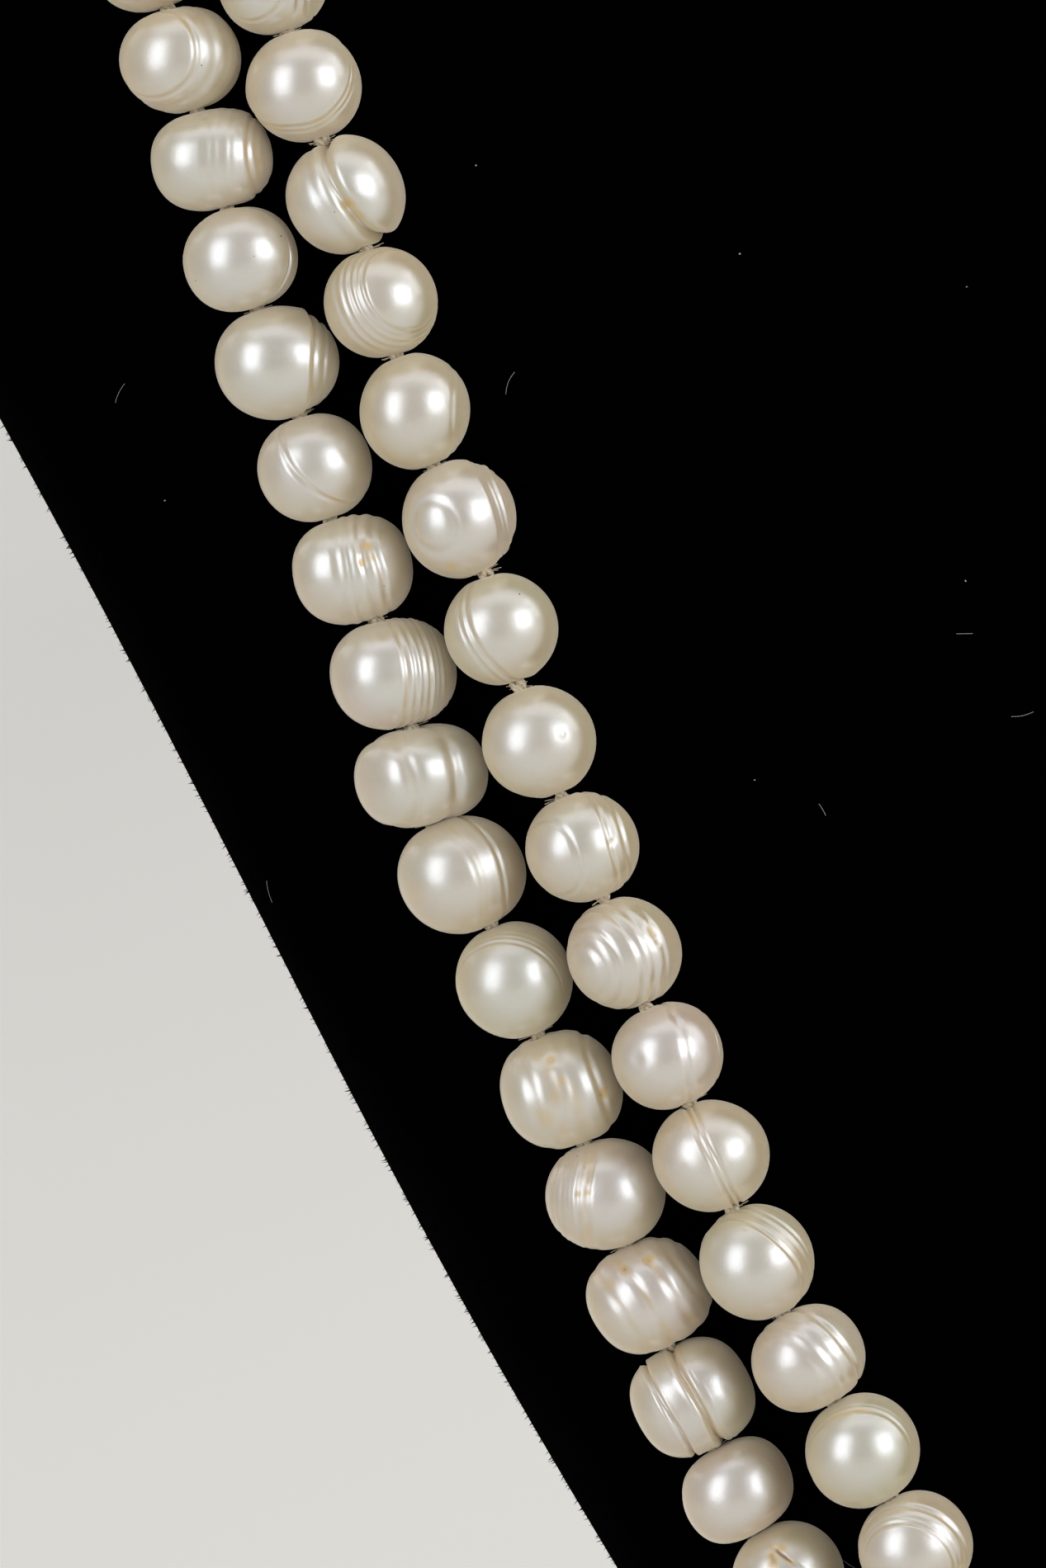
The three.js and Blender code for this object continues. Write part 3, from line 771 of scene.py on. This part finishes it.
def plainChart(rng, size):
    # a pearl that nobody charted: its rings and marks are drawn by lot
    turn = rng.uniform(*lot["turn"])
    chart = dict(size=(size, size * rng.uniform(*lot["squash"])), warm=rng.uniform(*lot["warm"]),
                 pole=(math.cos(turn), math.sin(turn)), blush=rng.uniform(*lot["blush"]),
                 lump=rng.uniform(*lot["lump"]))
    chart["rings"] = [tuple(rng.uniform(*span) for span in lot["ring"])
                      for _ in range(rng.randint(*lot["rings"]))]
    if rng.random() < lot["bandChance"]:
        start = rng.uniform(*lot["bandStart"])
        length, furthest, count, depth = lot["band"]
        chart["bands"] = [(start, min(furthest, start + length), count, depth)]
    if rng.random() < lot["pitChance"]:
        chart["pits"] = [(rng.uniform(*lot["pitPlace"]), rng.uniform(*lot["pitPlace"]),
                          *lot["pit"])]
    return chart


def pearlMesh(name, rows, segments, levels):
    # rows are (chart, place, thread direction, length, axes, random numbers)
    bm = bmesh.new()
    stains, blushes, warmths = [], [], []
    for row in rows:
        stain, blush, warmth = growPearl(bm, *row, segments, levels)
        stains.append(stain)
        blushes.append(blush)
        warmths.append(warmth)
    mesh = meshFrom(bm, name, smooth=True)
    for label, values in (("stain", stains), ("blush", blushes), ("warmth", warmths)):
        setFloats(mesh, label, np.concatenate(values))
    return mesh


def facing(place):
    # the view's axes, turned to face the eye from this place
    back = (eye - place).normalized()
    right = viewUp.cross(back).normalized()
    return right, back.cross(right), back


def lyingAxes(along, place):
    # for a pearl out of sight: across the thread, along it, and off the bust
    middle = Vector((0, 0, place.z))
    out = place - middle
    out = (out - along * out.dot(along)).normalized()
    return along.cross(out), along, out


def knotsOf(thread, near):
    # the middles of a thread's knots, at every third ring, with its two ends
    middles = [middleOf(ring) for ring in ringsOf(thread, near)]
    return [middles[0], *middles[3:-2:3], middles[-1]]


specks = []  # (piece, place, size, x, y, times) of each dark grain
speck = {"radius": 0.00006, "height": 0.4, "reach": 0.02, "shade": (0.03, 0.02, 0.012, 1),
         "light": (0.08, 0.055, 0.03, 1), "cloud": 9000, "roughness": 0.7}


def addRunPearls(material):
    knots = {}
    for turn in ("outer", "inner"):
        first = nodeMiddle(numbered(f"pearl_{turn}", 1))
        knots[turn] = knotsOf(f"thread_{turn}", first)
        for k in range(1, len(knots[turn])):
            name = numbered(turn, k)
            node = f"pearl_{name}"
            rng = random.Random(f"{name} grown")
            upper, lower = knots[turn][k - 1], knots[turn][k]
            place = nodeMiddle(node)
            along = (lower - upper).normalized()
            length = (lower - upper).length
            chart = pearls.get(name) or plainChart(rng, pearl["plainSize"])
            fine = name in pearls
            row = (chart, place, along, length, facing(place), rng)
            counts = ((pearl["segments"], pearl["levels"]) if fine
                      else (pearl["plainSegments"], pearl["plainLevels"]))
            mesh = pearlMesh(f"nacre_{name}", [row], *counts)
            grown = piece(f"nacre_{name}", mesh, "pearl", material, node)
            for x, y, times in chart.get("specks", []):
                specks.append((grown, place, chart["size"], x, y, times))
    return knots


def addSpecks(material):
    # dark grains in the skin, where the charts have them
    bm = bmesh.new()
    for grown, place, (wide, high), x, y, times in specks:
        right, up, back = facing(place)
        above = place + (right * (x * wide) + up * (y * high)) / halfMillimetres
        above += back * speck["reach"]
        hit, spot, normal, _ = grown.ray_cast(above, -back)
        if hit:
            flat = Matrix.Scale(speck["height"], 4, (0, 0, 1))
            turn = normal.to_track_quat("Z", "Y").to_matrix().to_4x4()
            bmesh.ops.create_icosphere(bm, subdivisions=2, radius=speck["radius"] * times,
                                       matrix=Matrix.Translation(spot) @ turn @ flat)
    nodes = sorted({grown.name.replace("nacre", "pearl") for grown, *_ in specks})
    piece("pearl_specks", meshFrom(bm, "pearl_specks"), "pearl", material, *nodes)


strung = {
    "rings": 5,  # of the CAD solid to each pearl
    "lead": 2,  # rings before the first pearl's
    "ends": 3,  # rings at both ends that are no pearl's
    "ringShare": 0.75,  # of the pearl's width squared, at the rings that are read
    "shoulders": 0.94,  # of its length, between its outer rings
    "knotRoom": 0.0006,
}


def addStrungPearls(material):
    ropes = {}
    names = sorted(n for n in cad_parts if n.startswith("strung_pearls"))
    for name in names:
        rings = ringsOf(name)
        middles = [middleOf(ring) for ring in rings]
        count = (len(rings) - strung["ends"]) // strung["rings"]
        rng = random.Random(f"{name} grown")
        rows = []
        knots = [middles[0]]
        for k in range(count):
            first = strung["lead"] + strung["rings"] * k
            place = (middles[first + 1] + middles[first + 2]) / 2
            along = (middles[first + 3] - middles[first]).normalized()
            across = (rings[first + 1][0] - middles[first + 1]).length
            across /= math.sqrt(strung["ringShare"])
            length = (middles[first + 3] - middles[first]).length / strung["shoulders"]
            length += strung["knotRoom"]
            chart = plainChart(rng, across * halfMillimetres)
            rows.append((chart, place, along, length, lyingAxes(along, place), rng))
            knots.append(middles[min(first + 4, len(middles) - 1)])
        mesh = pearlMesh(f"nacre_{name}", rows, pearl["plainSegments"], pearl["plainLevels"])
        piece(f"nacre_{name}", mesh, "pearl", material, name)
        ropes[name] = knots
        print(name, count, "pearls")
    return ropes


print("making the materials")
pearlFinish = nacreMaterial()
velvetFinish = velvetMaterial()
silkFinish = silkMaterial()
giltFinish = giltMaterial()

addCamera()
addLights()
addWorld()

print("growing the pearls")
turnKnots = addRunPearls(pearlFinish)
ropeKnots = addStrungPearls(pearlFinish)
addSpecks(mottledMaterial("dark grain", speck))


# the silk thread and its knots
silk = {
    "radius": 0.00028,
    "knotRadius": 0.00052,
    "knotThread": 0.00027,
    "frays": 12,
    "fray": 0.000028,
    "frayLength": 0.0012,
    "knotRise": 0.75,  # of the knot along the thread, in knot radii
    "knotSteps": 36,
    "hiddenSteps": 18,
    "frayRoot": 0.2,  # where a fray starts, bends and how far it curls, in its lengths
    "frayBend": 0.4,
    "frayCurl": 0.25,
    "frayLean": 0.5,  # away from the thread
}


def addSpline(curve, points, radius, closed=False):
    spline = curve.splines.new("POLY")
    spline.points.add(len(points) - 1)
    for spot, point in zip(spline.points, points):
        spot.co = (*point, 1)
        spot.radius = radius
    spline.use_cyclic_u = closed


def meshOfCurve(curve):
    curve.use_fill_caps = True
    shape = link(bpy.data.objects.new(curve.name, curve))
    mesh = finishedMesh(shape)
    bpy.data.objects.remove(shape)
    for polygon in mesh.polygons:
        polygon.use_smooth = True
    mesh.materials.clear()
    return mesh


def trefoil(place, along, rng, steps):
    # a tied loop, drawn up round the thread's own direction
    side = along.orthogonal().normalized()
    other = along.cross(side)
    turn = rng.uniform(0, math.tau)
    points = []
    for k in range(steps):
        t = math.tau * k / steps
        x = (math.sin(t + turn) + 2 * math.sin(2 * t + turn)) / 3
        y = (math.cos(t + turn) - 2 * math.cos(2 * t + turn)) / 3
        z = -math.sin(3 * t) * silk["knotRise"]
        points.append(place + (side * x + other * y + along * z) * silk["knotRadius"])
    return points


def addSilk(material):
    # the stretches as the rope runs, from the clasp round to the clasp
    order = ["strung_pearls_01", "outer", *[numbered("strung_pearls", k) for k in range(2, 7)],
             "inner", *[numbered("strung_pearls", k) for k in range(7, 11)]]
    curve = bpy.data.curves.new("silk", "CURVE")
    curve.dimensions = "3D"
    curve.bevel_depth = 1
    curve.bevel_resolution = 1
    rng = random.Random("silk knots")
    last = nodeMiddle("clasp")
    route = []
    for name in order:
        knots = turnKnots.get(name) or ropeKnots[name]
        if (knots[0] - last).length > (knots[-1] - last).length:
            knots = knots[::-1]
        if route:
            knots = [(knots[0] + route.pop()) / 2, *knots[1:]]
        route += knots
        last = route[-1]
    addSpline(curve, route, silk["radius"])
    seen = set()
    for name in ("outer", "inner"):
        seen.update(tuple(round(c, 4) for c in knot) for knot in turnKnots[name])
    for k in range(1, len(route) - 1):
        along = (route[k + 1] - route[k - 1]).normalized()
        shown = tuple(round(c, 4) for c in route[k]) in seen
        steps = silk["knotSteps"] if shown else silk["hiddenSteps"]
        addSpline(curve, trefoil(route[k], along, rng, steps), silk["knotThread"], True)
        for _ in range(silk["frays"] if shown else 0):
            loose = Vector([rng.gauss(0, 1) for _ in range(3)]).normalized()
            loose = (loose - along * loose.dot(along) * silk["frayLean"]) * silk["frayLength"]
            start = route[k] + loose * silk["frayRoot"]
            curl = Vector([rng.gauss(0, 1) for _ in range(3)])
            curl = curl * silk["frayLength"] * silk["frayCurl"]
            bend = start + loose * silk["frayBend"] + curl * 0.5
            addSpline(curve, [start, bend, start + loose + curl], silk["fray"])
    mesh = meshOfCurve(curve)
    piece("silk_thread", mesh, "thread", material, "thread_outer", "thread_inner")
    print("silk thread:", len(mesh.polygons), "faces")


addSilk(silkFinish)


# the clasp
clasp = {
    "flutes": 14,
    "fluteDepth": 0.09,
    "fluted": (0.06, 0.5),  # from and to, in half lengths from the middle
    "sides": 56,
    "waist": 0.94,  # radius of the groove in the middle
    # one half from its tip inwards, in radii and half lengths
    "outline": [(0, 1), (0.34, 0.995), (0.42, 0.93), (0.42, 0.86), (0.36, 0.82), (0.4, 0.78),
                (0.62, 0.74), (0.7, 0.66), (0.66, 0.6), (0.84, 0.52), (0.93, 0.42),
                (0.98, 0.2), (0.99, 0.03)],
}


def addClasp(material):
    rings = ringsOf("clasp", nodeMiddle("strung_pearls_01"))
    start, stop = middleOf(rings[0]), middleOf(rings[-1])
    along = (stop - start).normalized()
    half = (stop - start).length / 2
    radius = max((p - middleOf(ring)).length for ring in rings for p in ring)
    outline = [(r, -z) for r, z in clasp["outline"]]
    outline += [(clasp["waist"], 0), *reversed(clasp["outline"])]
    bm = bmesh.new()
    side = along.orthogonal().normalized()
    middle = (start + stop) / 2
    line = [bm.verts.new(middle + side * (r * radius) + along * (z * half)) for r, z in outline]
    edges = [bm.edges.new(pair) for pair in zip(line, line[1:])]
    bmesh.ops.spin(bm, geom=line + edges, cent=middle, axis=along, angle=math.tau,
                   steps=clasp["sides"], use_merge=True)
    bmesh.ops.remove_doubles(bm, verts=bm.verts, dist=weld)
    other = along.cross(side)
    for vert in bm.verts:
        offset = vert.co - middle
        height = offset.dot(along) / half
        if clasp["fluted"][0] < abs(height) < clasp["fluted"][1]:
            turn = math.atan2(offset.dot(other), offset.dot(side)) * clasp["flutes"]
            out = offset - along * offset.dot(along)
            vert.co -= out * clasp["fluteDepth"] * (0.5 + 0.5 * math.cos(turn))
    bmesh.ops.recalc_face_normals(bm, faces=bm.faces)
    piece("gilt_clasp", meshFrom(bm, "gilt_clasp", smooth=True), "clasp", material, "clasp")


addClasp(giltFinish)


# the velvet bust and its pile
bust = {
    "fullness": 0.0004,
    "levels": 2,
    "flat": 40,  # degrees between triangles that are joined
    "tufts": 47000,
    "tuftHeight": 0.0005,
    "tuftRadius": 0.00006,
    "tuftSizes": (0.5, 1.2),
    "lean": 0.5,
    "bare": 0.002,  # no pile lower than this, under the sole
}


def addBust(material):
    bm = copyOfNode("neck_bust")
    flat = math.radians(bust["flat"])
    bmesh.ops.join_triangles(bm, faces=bm.faces, angle_face_threshold=flat,
                             angle_shape_threshold=flat)
    mesh = meshFrom(bm, "velvet_bust", smooth=True)
    obj = piece("velvet_bust", mesh, "velvet", material, "neck_bust")
    smooth = obj.modifiers.new("smooth", "SUBSURF")
    smooth.levels = smooth.render_levels = bust["levels"]
    fuller = obj.modifiers.new("fuller", "DISPLACE")
    fuller.strength = bust["fullness"]
    fuller.mid_level = 0
    bpy.context.view_layer.update()
    finished = finishedMesh(obj)
    obj.modifiers.clear()
    for vert in finished.vertices:
        vert.co.z = max(vert.co.z, 0)  # the sole stays on the floor
    obj.data = finished
    print("velvet bust:", len(finished.polygons), "faces")
    return obj


velvetBust = addBust(velvetFinish)


def addPile(base, material):
    # short leaning tufts, strewn over the bust
    tree = bpy.data.node_groups.new("pile", "GeometryNodeTree")
    tree.interface.new_socket("Geometry", in_out="INPUT", socket_type="NodeSocketGeometry")
    tree.interface.new_socket("Geometry", in_out="OUTPUT", socket_type="NodeSocketGeometry")
    enter, leave = addNode(tree, "NodeGroupInput"), addNode(tree, "NodeGroupOutput")
    area = sum(p.area for p in base.data.polygons)
    strew = addNode(tree, "GeometryNodeDistributePointsOnFaces", Seed=11,
                    Density=bust["tufts"] / area)
    tuft = addNode(tree, "GeometryNodeMeshCone", Vertices=3, Depth=bust["tuftHeight"])
    setInputs(tuft, {"Radius Bottom": bust["tuftRadius"], "Radius Top": 0})
    lean = addNode(tree, "FunctionNodeRandomValue", data_type="FLOAT_VECTOR", Seed=5)
    setInputs(lean, {0: (-bust["lean"], -bust["lean"], 0),
                     1: (bust["lean"], bust["lean"], math.tau)})
    turn = addNode(tree, "FunctionNodeRotateRotation", rotation_space="LOCAL")
    grow = addNode(tree, "FunctionNodeRandomValue", data_type="FLOAT", Seed=8)
    setInputs(grow, dict(zip((2, 3), bust["tuftSizes"])))
    plant = addNode(tree, "GeometryNodeInstanceOnPoints")
    solid = addNode(tree, "GeometryNodeRealizeInstances")
    place = addNode(tree, "GeometryNodeInputPosition")
    parts = addNode(tree, "ShaderNodeSeparateXYZ")
    clad = addNode(tree, "FunctionNodeCompare", operation="GREATER_THAN")
    setInputs(clad, {1: bust["bare"]})
    for outlet, inlet in (
        (place.outputs[0], parts.inputs[0]),
        (parts.outputs["Z"], clad.inputs[0]),
        (clad.outputs[0], strew.inputs["Selection"]),
        (enter.outputs[0], strew.inputs["Mesh"]),
        (strew.outputs["Points"], plant.inputs["Points"]),
        (tuft.outputs["Mesh"], plant.inputs["Instance"]),
        (strew.outputs["Rotation"], turn.inputs["Rotation"]),
        (lean.outputs[0], turn.inputs["Rotate By"]),
        (turn.outputs["Rotation"], plant.inputs["Rotation"]),
        (grow.outputs[1], plant.inputs["Scale"]),
        (plant.outputs["Instances"], solid.inputs["Geometry"]),
        (solid.outputs["Geometry"], leave.inputs[0]),
    ):
        tree.links.new(outlet, inlet)
    obj = piece("velvet_pile", base.data.copy(), "velvet", material, "neck_bust")
    modifier = obj.modifiers.new("pile", "NODES")
    modifier.node_group = tree
    bpy.context.view_layer.update()
    grown = finishedMesh(obj)
    obj.modifiers.clear()
    obj.data = grown
    grown.materials.clear()
    grown.materials.append(material)
    print("velvet pile:", len(grown.polygons), "faces")


addPile(velvetBust, velvetFinish)


lint = {"fibres": 26, "radius": 0.000018, "length": 0.0022, "specks": 46, "speck": 0.00007,
        "across": 0.075, "low": 0.04, "high": 0.26, "front": -0.3, "onNap": 0.0006, "bend": 0.4,
        "lengths": (0.4, 1.2), "sizes": (0.4, 1),
        "shade": (0.30, 0.30, 0.29, 1), "light": (0.62, 0.60, 0.56, 1), "cloud": 300,
        "roughness": 0.9}


def onVelvet(x, z):
    # the velvet's own point and normal at this place on the chest
    hit, place, normal, _ = velvetBust.ray_cast(Vector((x, lint["front"], z)), Vector((0, 1, 0)))
    return (place, normal) if hit else (None, None)


def addLint(material):
    # dust caught on the nap
    rng = random.Random("lint")
    curve = bpy.data.curves.new("lint", "CURVE")
    curve.dimensions = "3D"
    curve.bevel_depth = 1
    curve.bevel_resolution = 0
    for k in range(lint["fibres"] + lint["specks"]):
        place, normal = onVelvet(rng.uniform(-lint["across"], lint["across"]),
                                 rng.uniform(lint["low"], lint["high"]))
        if place is None:
            continue
        length = lint["length"] * rng.uniform(*lint["lengths"])
        radius = lint["radius"]
        if k >= lint["fibres"]:
            length, radius = lint["speck"] * 2, lint["speck"] * rng.uniform(*lint["sizes"])
        along = normal.cross(Vector([rng.gauss(0, 1) for _ in range(3)])).normalized()
        side = normal.cross(along)
        bend = rng.uniform(-lint["bend"], lint["bend"])
        start = place + normal * (lint["onNap"] + radius)
        points = [start + along * (t * length) + side * (bend * length * (0.25 - t * t))
                  for t in (-0.5, -0.25, 0, 0.25, 0.5)]
        addSpline(curve, points, radius)
    piece("lint", meshOfCurve(curve), "velvet", material, "neck_bust")


addLint(mottledMaterial("pale lint", lint))


# the floor
floor = {"size": 20, "shade": (0.69, 0.677, 0.637, 1), "light": (0.71, 0.697, 0.657, 1),
         "cloud": 3, "roughness": 0.9}


def addFloor(material):
    bm = bmesh.new()
    bmesh.ops.create_grid(bm, x_segments=1, y_segments=1, size=floor["size"])
    mesh = meshFrom(bm, "floor")
    mesh.materials.append(material)
    link(bpy.data.objects.new("floor", mesh))


addFloor(mottledMaterial("pale floor", floor))
